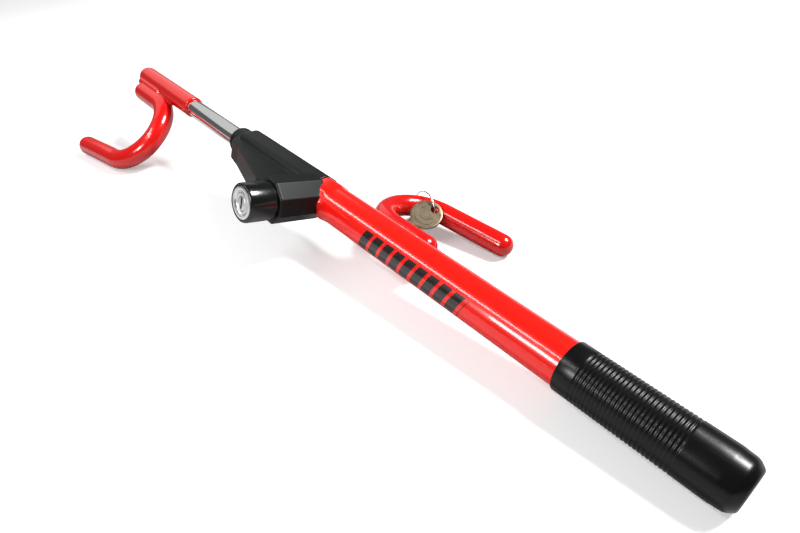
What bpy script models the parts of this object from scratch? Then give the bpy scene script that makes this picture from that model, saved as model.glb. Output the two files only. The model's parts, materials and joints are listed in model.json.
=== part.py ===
"""Steering wheel lock: a telescoping bar with two hooks, a ratchet rod and a key lock.

The lock is drawn in its tube's own frame: X runs along the tube with 0 at the grip's end face and
negative towards the far hook, -Y is the side of the key lock. A base empty then lays the lock on
the floor, where it rests on the grip's rim and on the tips of both hooks.
Driving dimensions are in millimetres and MM turns them into metres.
"""
import math

import bmesh
import bpy
import numpy as np
from mathutils import Matrix, Vector

MM = 0.001
GAP = 0.3                    # clearance between touching pieces

# Tube and grip
TUBE_R = 14.3
TUBE_BORE = 11.7
TUBE_FRONT = -432.0
TUBE_REAR = -6.0
GRIP_R = 15.5
GRIP_LENGTH = 98.0
GRIP_RIM_X = -11.0           # the widest edge, which touches the floor; the end tapers after it

# Rod
ROD_R = 8.6
ROD_FRONT = -655.0
ROD_REAR = -107.3
ROD_STUB_R = 6.0
BUSH_LENGTH = 9.2
GROOVE_PITCH = 12.5
GROOVE_COUNT = 24
GROOVE_DEPTH = 2.0

# Hooks: a straight welded leg, a bend and a free leg
TUBE_HOOK_CORE_R = 6.6
TUBE_HOOK_SKIN_R = 8.6
TUBE_HOOK_OFFSET = 21.2
TUBE_HOOK_BEND = 28.0
TUBE_HOOK_X = -265.0
TUBE_HOOK_LEG = 57.0
TUBE_HOOK_FLARE = math.radians(5.4)
TUBE_HOOK_WELDED = 33.5
TUBE_HOOK_ROLL = math.radians(-15.0)
ROD_HOOK_CORE_R = 7.5
ROD_HOOK_SKIN_R = 9.7
ROD_HOOK_OFFSET = 16.5
ROD_HOOK_BEND = 36.4
ROD_HOOK_X = -600.0
ROD_HOOK_LEG = 60.0
ROD_HOOK_FLARE = math.radians(9.4)
ROD_HOOK_WELDED = 38.5
ROD_HOOK_ROLL = math.radians(180.0 + 34.2)
ROD_SKIN_R = 10.1
ROD_SKIN_START = -542.0

# Lock body and key lock; d is the distance from the tube's axis along the lock's axis
BODY_FLAT = 15.7             # half width across the eight flats
BODY_REAR = -326.0
BODY_SHOULDER = -430.0
COLLAR_R = 12.0
COLLAR_BACK = -438.5
COLLAR_FRONT = -450.5
LOCK_X = -328.0
LOCK_RISE = math.radians(17.0)
LOCK_FACE = 68.0
BOSS_FLAT = 16.0
BOSS_TOP = 46.3
SLEEVE_R = 14.2
CYLINDER_HEAD_R = 11.8
PLUG_R = 6.0
PAWL_LIFT = 1.9
WAFER_COUNT = 5
WAFER_PITCH = 4.0

# Key ring and keys
RING_R = 14.6
RING_WIRE_R = 0.8
KEY_BOW_R = 12.6
KEY_THICK = 2.0

for old in list(bpy.data.objects):
    bpy.data.objects.remove(old, do_unlink=True)


# ---------------------------------------------------------------- materials
def material(name, colour, roughness, metallic):
    mat = bpy.data.materials.new(name)
    mat.use_nodes = True
    shader = mat.node_tree.nodes["Principled BSDF"]
    shader.inputs["Base Color"].default_value = (*colour, 1.0)
    shader.inputs["Roughness"].default_value = roughness
    shader.inputs["Metallic"].default_value = metallic
    return mat


RED_PAINT = ("red_paint", (0.82, 0.02, 0.008), 0.3, 0.0)
RED_VINYL = ("red_vinyl", (0.6, 0.008, 0.006), 0.25, 0.0)
BLACK_RUBBER = ("black_rubber", (0.012, 0.012, 0.012), 0.4, 0.0)
BLACK_ENAMEL = ("black_enamel", (0.014, 0.015, 0.016), 0.45, 0.0)
CHROME = ("chrome", (0.75, 0.76, 0.76), 0.08, 1.0)
STEEL = ("steel", (0.4, 0.4, 0.4), 0.35, 1.0)
ZINC = ("zinc", (0.6, 0.61, 0.6), 0.3, 1.0)
BRASS = ("brass", (0.42, 0.36, 0.27), 0.35, 1.0)
NYLON = ("nylon", (0.7, 0.69, 0.64), 0.5, 0.0)
finishes = {}


# ---------------------------------------------------------------- helpers
def add_object(name, bm, finish, parent, place=None):
    """Make a named object from a bmesh drawn in millimetres."""
    bmesh.ops.remove_doubles(bm, verts=bm.verts, dist=1e-4)
    bmesh.ops.recalc_face_normals(bm, faces=bm.faces)
    if bm.calc_volume(signed=True) < 0:
        bmesh.ops.reverse_faces(bm, faces=bm.faces)
    bmesh.ops.scale(bm, vec=(MM, MM, MM), verts=bm.verts)
    mesh = bpy.data.meshes.new(name)
    bm.to_mesh(mesh)
    bm.free()
    mesh.shade_smooth()
    mesh.set_sharp_from_angle(angle=math.radians(35.0))
    if finish not in finishes:
        finishes[finish] = material(*finish)
    mesh.materials.append(finishes[finish])
    piece = bpy.data.objects.new(name, mesh)
    bpy.context.scene.collection.objects.link(piece)
    piece.parent = parent
    if place is not None:
        piece.matrix_local = place
    return piece


def add_empty(name, parent, place):
    empty = bpy.data.objects.new(name, None)
    bpy.context.scene.collection.objects.link(empty)
    empty.parent = parent
    empty.matrix_local = place
    return empty


def add_cutter(name, bm, parent, place=None):
    """A helper solid for a Boolean; it is hidden and isn't part of the lock."""
    cutter = add_object(name, bm, STEEL, parent, place)
    cutter.hide_render = True
    cutter.display_type = "WIRE"
    return cutter


def combine(piece, other, operation):
    boolean = piece.modifiers.new(f"{operation.lower()}_{other.name}", "BOOLEAN")
    boolean.operation = operation
    boolean.solver = "EXACT"
    boolean.object = other


def turned(profile, sides):
    """A solid of revolution about Z from a closed outline of (z, radius) points."""
    bm = bmesh.new()
    points = [bm.verts.new((radius, 0.0, z)) for z, radius in profile]
    edges = [bm.edges.new((a, b)) for a, b in zip(points, points[1:] + points[:1])]
    bmesh.ops.spin(bm, geom=points + edges, axis=(0, 0, 1), cent=(0, 0, 0),
                   angle=math.tau, steps=sides, use_merge=False)
    bmesh.ops.remove_doubles(bm, verts=bm.verts, dist=1e-4)
    flat = [face for face in bm.faces if face.calc_area() < 1e-9]
    bmesh.ops.delete(bm, geom=flat, context="FACES")
    return bm


def block(low, high):
    bm = bmesh.new()
    bmesh.ops.create_cube(bm, size=1.0)
    centre = (Vector(low) + Vector(high)) / 2
    size = Vector(high) - Vector(low)
    bmesh.ops.scale(bm, vec=size, verts=bm.verts)
    bmesh.ops.translate(bm, vec=centre, verts=bm.verts)
    return bm


def prism(outline, low, high):
    """An outline of (x, y) points extruded along Z."""
    bm = bmesh.new()
    face = bm.faces.new([bm.verts.new((x, y, low)) for x, y in outline])
    grown = bmesh.ops.extrude_face_region(bm, geom=[face])
    lifted = [item for item in grown["geom"] if isinstance(item, bmesh.types.BMVert)]
    bmesh.ops.translate(bm, vec=(0, 0, high - low), verts=lifted)
    return bm


def loft(rings, closed_ends=True):
    """Bridge rings that all have the same number of points."""
    bm = bmesh.new()
    rows = [[bm.verts.new(point) for point in ring] for ring in rings]
    for row, after in zip(rows, rows[1:]):
        for i in range(len(row)):
            j = (i + 1) % len(row)
            bm.faces.new((row[i], row[j], after[j], after[i]))
    if closed_ends:
        bm.faces.new(rows[0])
        bm.faces.new(rows[-1])
    return bm


def circle(radius, count, start=0.0):
    step = math.tau / count
    return [(radius * math.cos(start + i * step), radius * math.sin(start + i * step))
            for i in range(count)]


def hook_path(opening, offset, bend, start_x, leg, flare, welded):
    """Centreline of a hook in its own plane: (x along the tube, y away from it).

    opening is +1 for a hook that opens towards the grip and -1 for the other."""
    points = [Vector((start_x + opening * welded, offset))]
    sweep = math.pi - flare
    steps = 12
    for i in range(steps + 1):
        turn = sweep * i / steps
        points.append(Vector((start_x - opening * bend * math.sin(turn),
                              offset + bend * (1 - math.cos(turn)))))
    heading = Vector((opening * math.cos(flare), math.sin(flare)))
    points.append(points[-1] + heading * leg)
    return points


def bar(path, radius, sides=14, cap_steps=3):
    """A round bar along a flat path, with domed ends; its outline stays in the XY plane."""
    headings = []
    for i in range(len(path)):
        before = path[max(i - 1, 0)]
        after = path[min(i + 1, len(path) - 1)]
        headings.append((after - before).normalized())
    headings[1] = (path[1] - path[0]).normalized()
    headings[-2] = (path[-1] - path[-2]).normalized()
    stations = []
    for i in range(cap_steps):
        rise = math.radians(90.0) * (i + 0.35) / cap_steps
        stations.append((path[0] - headings[0] * radius * math.cos(rise),
                         headings[0], radius * math.sin(rise)))
    stations += [(point, heading, radius) for point, heading in zip(path, headings)]
    for i in reversed(range(cap_steps)):
        rise = math.radians(90.0) * (i + 0.35) / cap_steps
        stations.append((path[-1] + headings[-1] * radius * math.cos(rise),
                         headings[-1], radius * math.sin(rise)))
    rings = []
    for centre, heading, r in stations:
        side = Vector((-heading.y, heading.x))
        rings.append([(centre.x + side.x * u, centre.y + side.y * u, v) for u, v in circle(r, sides)])
    return loft(rings)


# ---------------------------------------------------------------- frames
def hook_tip(opening, offset, bend, start_x, leg, flare, roll):
    """The centre of a free leg's domed end, in the tube's frame."""
    tip = hook_path(opening, offset, bend, start_x, leg, flare, 0.0)[-1]
    return Vector((tip.x, tip.y * math.cos(roll), tip.y * math.sin(roll)))


def floor_normal():
    """The floor's normal in the tube's frame: the plane under the rim and both hook tips."""
    near = hook_tip(-1, ROD_HOOK_OFFSET, ROD_HOOK_BEND, ROD_HOOK_X, ROD_HOOK_LEG,
                    ROD_HOOK_FLARE, ROD_HOOK_ROLL)
    far = hook_tip(1, TUBE_HOOK_OFFSET, TUBE_HOOK_BEND, TUBE_HOOK_X, TUBE_HOOK_LEG,
                   TUBE_HOOK_FLARE, TUBE_HOOK_ROLL)
    normal = Vector((0, 0, 1))
    for _ in range(30):
        across = Vector((0, normal.y, normal.z)).normalized()
        rim = Vector((GRIP_RIM_X, 0, 0)) - across * GRIP_R
        rod_touch = near - normal * ROD_HOOK_SKIN_R
        tube_touch = far - normal * TUBE_HOOK_SKIN_R
        normal = (tube_touch - rim).cross(rod_touch - rim).normalized()
        if normal.z < 0:
            normal = -normal
    return normal


def lay_down(normal):
    """Turn the tube's frame so that the floor's normal is up and the tube points along X."""
    along = (Vector((1, 0, 0)) - normal * normal.x).normalized()
    across = normal.cross(along)
    return Matrix((along, across, normal)).to_4x4()


def at(x, y=0.0, z=0.0):
    return Matrix.Translation(Vector((x, y, z)) * MM)


ALONG_TUBE = Matrix.Rotation(math.radians(90.0), 4, "Y")     # local Z becomes X
base = add_empty("base", None, lay_down(floor_normal()))
tube_axis = add_empty("tube_axis", base, ALONG_TUBE)
rod_axis = add_empty("rod_axis", base, ALONG_TUBE)
tube_hook_plane = add_empty("tube_hook_plane", base, Matrix.Rotation(TUBE_HOOK_ROLL, 4, "X"))
rod_hook_plane = add_empty("rod_hook_plane", base, Matrix.Rotation(ROD_HOOK_ROLL, 4, "X"))
lock_axis = add_empty("lock_axis", base,
                      at(LOCK_X) @ Matrix.Rotation(math.radians(90.0) - LOCK_RISE, 4, "X"))


# ---------------------------------------------------------------- outer tube
def outer_tube():
    edge = 0.6
    profile = [
        (TUBE_FRONT, TUBE_BORE), (TUBE_FRONT, TUBE_R - edge), (TUBE_FRONT + edge, TUBE_R),
        (TUBE_REAR - edge, TUBE_R), (TUBE_REAR, TUBE_R - edge), (TUBE_REAR, TUBE_BORE)]
    return add_object("outer_tube", turned(profile, 28), RED_PAINT, tube_axis)


PAWL_SLOT = (4.4, 6.6)       # half sizes of the window the pawl's nose passes through
PIN_R = 1.4
FRONT_PIN_X = -400.0
STOP_PIN_X = -318.5

tube = outer_tube()
window = add_cutter("pawl_window_cutter",
                    block((-PAWL_SLOT[0], -PAWL_SLOT[1], 8.0), (PAWL_SLOT[0], PAWL_SLOT[1], 17.6)),
                    lock_axis)
stop_pin_hole = add_cutter("stop_pin_cutter",
                           turned([(8.6, 0), (8.6, PIN_R + GAP), (17.6, PIN_R + GAP), (17.6, 0)], 12),
                           lock_axis, at(STOP_PIN_X - LOCK_X))
front_pin_frame = at(FRONT_PIN_X) @ Matrix.Rotation(-math.radians(90.0) - LOCK_RISE, 4, "X")
front_pin_hole = add_cutter("front_pin_cutter",
                            turned([(9.2, 0), (9.2, PIN_R + GAP), (19, PIN_R + GAP), (19, 0)], 12),
                            base, front_pin_frame)
for hole in (window, stop_pin_hole, front_pin_hole):
    combine(tube, hole, "DIFFERENCE")


# ---------------------------------------------------------------- grip and end plug
def grip_sleeve():
    """A rubber sleeve with turned ribs and a tapered end that folds in over the tube's end."""
    bore = TUBE_R + 0.15
    lip_r = 9.0
    rib_pitch = 11.4
    rib_count = 6
    rib_start = -GRIP_LENGTH + 10.0
    outline = [(-GRIP_LENGTH, bore), (-GRIP_LENGTH, GRIP_R - 0.5), (-GRIP_LENGTH + 0.8, GRIP_R)]
    for i in range(rib_count):
        start = rib_start + i * rib_pitch
        outline += [(start, GRIP_R), (start + 0.8, GRIP_R - 0.4),
                    (start + 5.0, GRIP_R - 0.4), (start + 5.8, GRIP_R)]
    outline += [(GRIP_RIM_X, GRIP_R), (-5.0, 14.9), (-1.6, 12.8),
                (0.0, 11.4), (0.0, lip_r), (TUBE_REAR + GAP, lip_r), (TUBE_REAR + GAP, bore)]
    return turned(outline, 28)


def end_plug():
    inner = -14.0
    face_r = 8.7
    return turned([(inner, 0), (inner, TUBE_BORE - 1.0), (inner + 1.0, TUBE_BORE - GAP),
                   (TUBE_REAR - 0.4, TUBE_BORE - GAP), (TUBE_REAR - 0.4, face_r),
                   (-0.6, face_r), (0.0, face_r - 0.6), (0.0, 0)], 32)


add_object("grip_sleeve", grip_sleeve(), BLACK_RUBBER, tube_axis)
add_object("end_plug", end_plug(), BLACK_RUBBER, tube_axis)


# ---------------------------------------------------------------- rod
def rod_nose(skin):
    """Outline of the rod's rounded outer end, with a skin of this thickness on it."""
    return [(ROD_FRONT - skin, ROD_R - 3.2 + 0.4 * skin),
            (ROD_FRONT + 0.9 - skin, ROD_R - 1.2 + 0.6 * skin),
            (ROD_FRONT + 3.2 - skin, ROD_R + skin)]


def rod():
    """The chromed rod: plain outside, ring grooves with one steep side, a stub for the bush."""
    flat = 4.2
    slope = 2.6
    first = LOCK_X - 2.3
    outline = [(ROD_FRONT, 0)] + rod_nose(0.0)
    lowest = first - 7 * GROOVE_PITCH
    for i in range(GROOVE_COUNT):
        start = lowest + i * GROOVE_PITCH
        outline += [(start, ROD_R), (start + 0.2, ROD_R - GROOVE_DEPTH),
                    (start + 0.2 + flat, ROD_R - GROOVE_DEPTH), (start + 0.2 + flat + slope, ROD_R)]
    stub = ROD_REAR - BUSH_LENGTH - 0.4
    outline += [(stub, ROD_R), (stub, ROD_STUB_R), (ROD_REAR, ROD_STUB_R),
                (ROD_REAR, 2.4), (ROD_REAR - 13.0, 2.4), (ROD_REAR - 13.0, 0)]
    return turned(outline, 16)


def rod_guide_bush():
    start = ROD_REAR - BUSH_LENGTH
    bore = ROD_STUB_R + 0.35
    outer = TUBE_BORE - 0.35
    return turned([(start, bore), (start, outer - 0.6), (start + 0.6, outer),
                   (ROD_REAR - 0.9, outer), (ROD_REAR - GAP, outer - 0.6), (ROD_REAR - GAP, bore)], 24)


def rod_end_screw():
    """Pan-head screw with a slot-free dimple in its head, run into the rod's end."""
    head = ROD_REAR + GAP
    return turned([(head - 11.0, 0), (head - 11.0, 2.1), (head, 2.1), (head, 9.2), (head + 1.2, 9.2),
                   (head + 2.4, 7.6), (head + 2.4, 2.2), (head + 1.2, 1.6), (head + 1.2, 0)], 20)


def nose_bush():
    return turned([(TUBE_FRONT + 1.2, ROD_R + GAP), (TUBE_FRONT + 1.2, TUBE_BORE - GAP),
                   (TUBE_FRONT + 18.0, TUBE_BORE - GAP), (TUBE_FRONT + 18.0, ROD_R + GAP)], 24)


add_object("rod", rod(), CHROME, rod_axis)
add_object("rod_guide_bush", rod_guide_bush(), NYLON, rod_axis)
add_object("rod_end_screw", rod_end_screw(), STEEL, rod_axis)
add_object("nose_bush", nose_bush(), NYLON, tube_axis)


# ---------------------------------------------------------------- hook on the tube
tube_hook = hook_path(1, TUBE_HOOK_OFFSET, TUBE_HOOK_BEND, TUBE_HOOK_X, TUBE_HOOK_LEG,
                      TUBE_HOOK_FLARE, TUBE_HOOK_WELDED)
tube_solid = [(TUBE_FRONT, 0), (TUBE_FRONT, TUBE_R + GAP), (-80.0, TUBE_R + GAP), (-80.0, 0)]
tube_clearance = add_cutter("tube_clearance", turned(tube_solid, 28), tube_axis)
tube_hook_clearance = add_cutter("tube_hook_clearance", bar(tube_hook, TUBE_HOOK_CORE_R + GAP),
                                 tube_hook_plane)
add_object("tube_hook_core", bar(tube_hook, TUBE_HOOK_CORE_R), STEEL, tube_hook_plane)
tube_hook_coating = add_object("tube_hook_coating", bar(tube_hook, TUBE_HOOK_SKIN_R), RED_VINYL,
                               tube_hook_plane)


def weld_bead(length, radius):
    """A run of weld in the valley between two bars."""
    return turned([(-length / 2, 0), (-length / 2 + 1.5, radius * 0.8), (-length / 2 + 3.5, radius),
                   (length / 2 - 3.5, radius), (length / 2 - 1.5, radius * 0.8), (length / 2, 0)], 10)


def weld_frame(x, along, aside):
    """Place a bead at x, this far along the hook's plane and this far beside it."""
    return at(x, along, aside) @ ALONG_TUBE


TUBE_WELD_X = TUBE_HOOK_X + 14.0
TUBE_WELD_R = 3.0
tube_weld_place = weld_frame(TUBE_WELD_X, 15.0, 4.5)
tube_hook_weld = add_object("tube_hook_weld", weld_bead(30.0, TUBE_WELD_R), STEEL, tube_hook_plane,
                            tube_weld_place)
tube_weld_clearance = add_cutter("tube_weld_clearance", weld_bead(31.0, TUBE_WELD_R + GAP),
                                 tube_hook_plane, tube_weld_place)
combine(tube_hook_weld, tube_clearance, "DIFFERENCE")
combine(tube_hook_weld, tube_hook_clearance, "DIFFERENCE")
for hole in (tube_clearance, tube_hook_clearance, tube_weld_clearance):
    combine(tube_hook_coating, hole, "DIFFERENCE")


# ---------------------------------------------------------------- hook on the rod
rod_hook = hook_path(-1, ROD_HOOK_OFFSET, ROD_HOOK_BEND, ROD_HOOK_X, ROD_HOOK_LEG,
                     ROD_HOOK_FLARE, ROD_HOOK_WELDED)
rod_solid = [(ROD_FRONT - GAP, 0)] + rod_nose(GAP) + [(-500.0, ROD_R + GAP), (-500.0, 0)]
rod_clearance = add_cutter("rod_clearance", turned(rod_solid, 16), rod_axis)
rod_hook_clearance = add_cutter("rod_hook_clearance", bar(rod_hook, ROD_HOOK_CORE_R + GAP),
                                rod_hook_plane)
add_object("rod_hook_core", bar(rod_hook, ROD_HOOK_CORE_R), STEEL, rod_hook_plane)


def rod_skin():
    thickness = ROD_SKIN_R - ROD_R
    return turned([(ROD_FRONT - thickness, 0)] + rod_nose(thickness)
                  + [(ROD_SKIN_START - 0.6, ROD_SKIN_R), (ROD_SKIN_START, ROD_SKIN_R - 0.6),
                     (ROD_SKIN_START, 0)], 20)


ROD_WELD_R = 3.4
rod_weld_place = weld_frame(ROD_HOOK_X - 20.0, 8.9, 4.3)
rod_hook_weld = add_object("rod_hook_weld", weld_bead(34.0, ROD_WELD_R), STEEL, rod_hook_plane,
                           rod_weld_place)
rod_weld_clearance = add_cutter("rod_weld_clearance", weld_bead(35.0, ROD_WELD_R + GAP),
                                rod_hook_plane, rod_weld_place)
combine(rod_hook_weld, rod_clearance, "DIFFERENCE")
combine(rod_hook_weld, rod_hook_clearance, "DIFFERENCE")
rod_hook_skin = add_cutter("rod_hook_skin", bar(rod_hook, ROD_HOOK_SKIN_R), rod_hook_plane)
rod_hook_coating = add_object("rod_hook_coating", rod_skin(), RED_VINYL, rod_axis)
FILLET_HALF = 7.4            # the coat bridges rod and bar to this far each side of the hook's plane
rod_fillet = add_cutter("rod_fillet_solid",
                        block((ROD_HOOK_X - 50.0, 3.0, -FILLET_HALF), (ROD_HOOK_X - 3.0, 13.0, FILLET_HALF)),
                        rod_hook_plane)
combine(rod_hook_coating, rod_hook_skin, "UNION")
combine(rod_hook_coating, rod_fillet, "UNION")
for hole in (rod_clearance, rod_hook_clearance, rod_weld_clearance):
    combine(rod_hook_coating, hole, "DIFFERENCE")


# ---------------------------------------------------------------- lock body
def octagon_ring(x, half_flat, count=32):
    """A ring with eight flats and slightly eased corners, round the tube's axis."""
    ring = []
    for i in range(count):
        angle = math.tau * i / count
        off_flat = (angle + math.pi / 8) % (math.pi / 4) - math.pi / 8
        radius = min(half_flat / math.cos(off_flat), half_flat * 1.07)
        ring.append((x, radius * math.sin(angle), radius * math.cos(angle)))
    return ring


def round_ring(x, radius, count=32):
    return [(x, radius * math.sin(math.tau * i / count), radius * math.cos(math.tau * i / count))
            for i in range(count)]


def body_shell():
    return loft([octagon_ring(BODY_REAR, BODY_FLAT - 0.5), octagon_ring(BODY_REAR - 0.8, BODY_FLAT),
                 octagon_ring(BODY_SHOULDER, BODY_FLAT), round_ring(COLLAR_BACK, COLLAR_R),
                 round_ring(COLLAR_FRONT + 1.2, COLLAR_R), round_ring(COLLAR_FRONT, COLLAR_R - 1.2)])


def boss():
    """The block that carries the key barrel, with eight flats like the body."""
    ease = 1.2
    eighth = math.pi / 8
    rings = []
    for height, flat in ((6.0, BOSS_FLAT), (BOSS_TOP - ease, BOSS_FLAT), (BOSS_TOP, BOSS_FLAT - ease)):
        corner = flat / math.cos(eighth)
        rings.append([(x, y, height) for x, y in circle(corner, 8, eighth)])
    return loft(rings)


def web():
    """The web between collar and boss, drawn in the plane of the tube's and the lock's axes."""
    outline = [(-440.0, 6.0), (-440.0, 11.5), (-431.0, 20.0), (-414.0, 24.0), (-352.0, 43.5),
               (-334.0, 43.5), (-334.0, 6.0)]
    half = 8.0
    bm = prism([(x - LOCK_X, d) for x, d in outline], -half, half)
    bmesh.ops.rotate(bm, verts=bm.verts, matrix=Matrix.Rotation(math.radians(90.0), 3, "X"))
    return bm


def boss_bore():
    """Pawl chamber, then the wider bore for the barrel sleeve."""
    floor = 17.9 - PAWL_LIFT - 0.4
    return turned([(floor, 0), (floor, 10.0), (31.3, 10.0), (31.3, 13.3), (BOSS_TOP + 2, 13.3),
                   (BOSS_TOP + 2, 0)], 24)


lock_body = add_object("lock_body", body_shell(), BLACK_ENAMEL, base)
tube_socket = add_cutter("tube_socket",
                         turned([(TUBE_FRONT - GAP, 0), (TUBE_FRONT - GAP, TUBE_R + GAP),
                                 (-300.0, TUBE_R + GAP), (-300.0, 0)], 28), tube_axis)
rod_passage = add_cutter("rod_passage",
                         turned([(-460.0, 0), (-460.0, ROD_R + 0.5), (-425.0, ROD_R + 0.5),
                                 (-425.0, 0)], 24), tube_axis)
SCREW_D = 40.0
screw_frame = at(0, 0, SCREW_D) @ Matrix.Rotation(math.radians(90.0), 4, "X")
screw_hole = add_cutter("screw_hole_cutter", turned([(12.5, 0), (12.5, 2.3), (18, 2.3), (18, 0)], 12),
                        lock_axis, screw_frame)
combine(lock_body, add_cutter("web_solid", web(), lock_axis), "UNION")
combine(lock_body, add_cutter("boss_solid", boss(), lock_axis), "UNION")
for hole in (tube_socket, rod_passage, add_cutter("boss_bore_cutter", boss_bore(), lock_axis),
             window, stop_pin_hole, front_pin_hole, screw_hole):
    combine(lock_body, hole, "DIFFERENCE")

add_object("body_pin_rear", turned([(9.4, 0), (9.4, PIN_R - 0.3), (9.8, PIN_R), (16.2, PIN_R),
                                    (16.6, PIN_R - 0.3), (16.6, 0)], 12),
           STEEL, lock_axis, at(STOP_PIN_X - LOCK_X))
add_object("body_pin_front", turned([(10.4, 0), (10.4, PIN_R - 0.3), (10.8, PIN_R), (15.2, PIN_R),
                                     (15.6, PIN_R - 0.3), (15.6, 0)], 12),
           STEEL, base, front_pin_frame)
add_object("barrel_screw", turned([(13.35, 0), (13.35, 1.4), (13.9, 2.0), (15.6, 2.0), (15.6, 0.9),
                                   (14.6, 0.9), (14.6, 0)], 12), STEEL, lock_axis, screw_frame)


# ---------------------------------------------------------------- key lock
SLEEVE_REAR = 31.6
HEAD_SEAT = 63.4
PLUG_HEAD = 66.4


def barrel_sleeve():
    shoulder = BOSS_TOP + GAP
    return turned([(SLEEVE_REAR, 7.0), (SLEEVE_REAR, 13.0), (shoulder, 13.0), (shoulder, SLEEVE_R),
                   (LOCK_FACE - 1.6, SLEEVE_R), (LOCK_FACE - 0.4, SLEEVE_R - 0.6),
                   (LOCK_FACE, SLEEVE_R - 1.4), (LOCK_FACE, CYLINDER_HEAD_R + GAP),
                   (HEAD_SEAT, CYLINDER_HEAD_R + GAP), (HEAD_SEAT, 9.8), (SLEEVE_REAR + 1.5, 9.8),
                   (SLEEVE_REAR + 1.5, 7.0)], 28)


def lock_cylinder():
    head = HEAD_SEAT + GAP
    return turned([(36.2, PLUG_R + GAP), (36.2, 9.5), (head, 9.5), (head, CYLINDER_HEAD_R),
                   (LOCK_FACE - 0.4, CYLINDER_HEAD_R), (LOCK_FACE, CYLINDER_HEAD_R - 0.4),
                   (LOCK_FACE, 8.8), (LOCK_FACE - 0.6, 8.2), (PLUG_HEAD - GAP, 8.2),
                   (PLUG_HEAD - GAP, PLUG_R + GAP)], 28)


def lock_plug():
    """Head, body with a clip groove, and a thin tail that carries the cam pin."""
    return turned([(20.4, 0), (20.4, 3.1), (33.8, 3.1), (33.8, PLUG_R), (34.5, PLUG_R), (34.5, 4.8),
                   (35.7, 4.8), (35.7, PLUG_R), (PLUG_HEAD, PLUG_R), (PLUG_HEAD, 7.8),
                   (LOCK_FACE - 0.7, 7.8), (LOCK_FACE - 0.3, 7.4), (LOCK_FACE - 0.3, 0)], 24)


def c_clip():
    """An open ring, in the plug's groove."""
    start = math.radians(35.0)
    steps = 14
    sweep = math.tau - 2 * start
    arc = [start + sweep * i / steps for i in range(steps + 1)]
    outer = [(8.6 * math.cos(a), 8.6 * math.sin(a)) for a in arc]
    inner = [(5.1 * math.cos(a), 5.1 * math.sin(a)) for a in reversed(arc)]
    return prism(outer + inner, 34.8, 35.4)


CAM_PIN_R = 1.2
CAM_PIN_D = 26.0


def helical_slot(turn):
    """Cutter for the slot that the cam pin climbs in as the plug turns a quarter turn."""
    inner_r, outer_r = 2.6, 7.4
    half = CAM_PIN_R + 0.45
    end_margin = math.radians(26.0)
    quarter = math.radians(90.0)
    steps = 9
    rings = []
    for i in range(steps + 1):
        angle = end_margin - (quarter + 2 * end_margin) * i / steps
        climb = PAWL_LIFT * min(max(-angle / quarter, 0.0), 1.0)
        out = Vector((math.cos(turn + angle), math.sin(turn + angle), 0))
        middle = Vector((0, 0, CAM_PIN_D + climb))
        rings.append([out * inner_r + middle - Vector((0, 0, half)),
                      out * outer_r + middle - Vector((0, 0, half)),
                      out * outer_r + middle + Vector((0, 0, half)),
                      out * inner_r + middle + Vector((0, 0, half))])
    return loft(rings)


def pawl_sleeve():
    return turned([(17.9, 0), (17.9, 6.4), (19.2, 6.4), (19.2, 9.2), (20.6, 9.2), (20.6, 6.4),
                   (30.6, 6.4), (30.6, 3.5), (19.0, 3.5), (19.0, 0)], 24)


def spring(radius, wire, start, length, turns):
    """A compression spring wound about Z."""
    points_per_turn = 10
    sides = 5
    rings = []
    count = int(turns * points_per_turn)
    for i in range(count + 1):
        angle = math.tau * i / points_per_turn
        z = start + length * i / count
        out = Vector((math.cos(angle), math.sin(angle), 0))
        rings.append([tuple(out * (radius + wire * u) + Vector((0, 0, z + wire * v)))
                      for u, v in circle(1.0, sides)])
    return loft(rings)


add_object("barrel_sleeve", barrel_sleeve(), BLACK_ENAMEL, lock_axis)
add_object("lock_cylinder", lock_cylinder(), ZINC, lock_axis)
plug = add_object("lock_plug", lock_plug(), ZINC, lock_axis)
combine(plug, add_cutter("keyway_cutter", block((-1.1, -4.3, 38.0), (1.1, 4.3, 70.0)), lock_axis),
        "DIFFERENCE")
combine(plug, add_cutter("cam_pin_hole_cutter",
                         turned([(-8, 0), (-8, CAM_PIN_R + GAP), (8, CAM_PIN_R + GAP), (8, 0)], 10),
                         lock_axis, at(0, 0, CAM_PIN_D) @ ALONG_TUBE), "DIFFERENCE")
for i in range(WAFER_COUNT):
    d = 42.0 + i * WAFER_PITCH
    combine(plug, add_cutter(f"wafer_slot_cutter_{i + 1}", block((-3.6, -7.0, d - 0.8), (3.6, 7.0, d + 0.8)),
                             lock_axis), "DIFFERENCE")
    wafer = add_object(f"wafer_{i + 1}", block((-3.2, -5.0, d - 0.5), (3.2, 5.0, d + 0.5)), BRASS, lock_axis)
    combine(wafer, add_cutter(f"wafer_window_cutter_{i + 1}",
                              block((-1.5, -3.4, d - 1), (1.5, 2.6, d + 1)), lock_axis), "DIFFERENCE")
add_object("plug_clip", c_clip(), STEEL, lock_axis)
add_object("cam_pin", turned([(-5.8, 0), (-5.8, CAM_PIN_R), (5.8, CAM_PIN_R), (5.8, 0)], 10), STEEL,
           lock_axis, at(0, 0, CAM_PIN_D) @ ALONG_TUBE)
pawl = add_object("locking_pawl", block((-1.7, -5.5, ROD_R + 0.5), (1.7, 5.5, 18.4)), STEEL, lock_axis)
combine(pawl, add_cutter("pawl_sleeve_solid", pawl_sleeve(), lock_axis), "UNION")
combine(pawl, add_cutter("cam_slot_cutter_1", helical_slot(0.0), lock_axis), "DIFFERENCE")
combine(pawl, add_cutter("cam_slot_cutter_2", helical_slot(math.pi), lock_axis), "DIFFERENCE")
add_object("pawl_spring", spring(8.0, 0.5, 21.5, 9.2, 4.5), STEEL, lock_axis)

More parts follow.
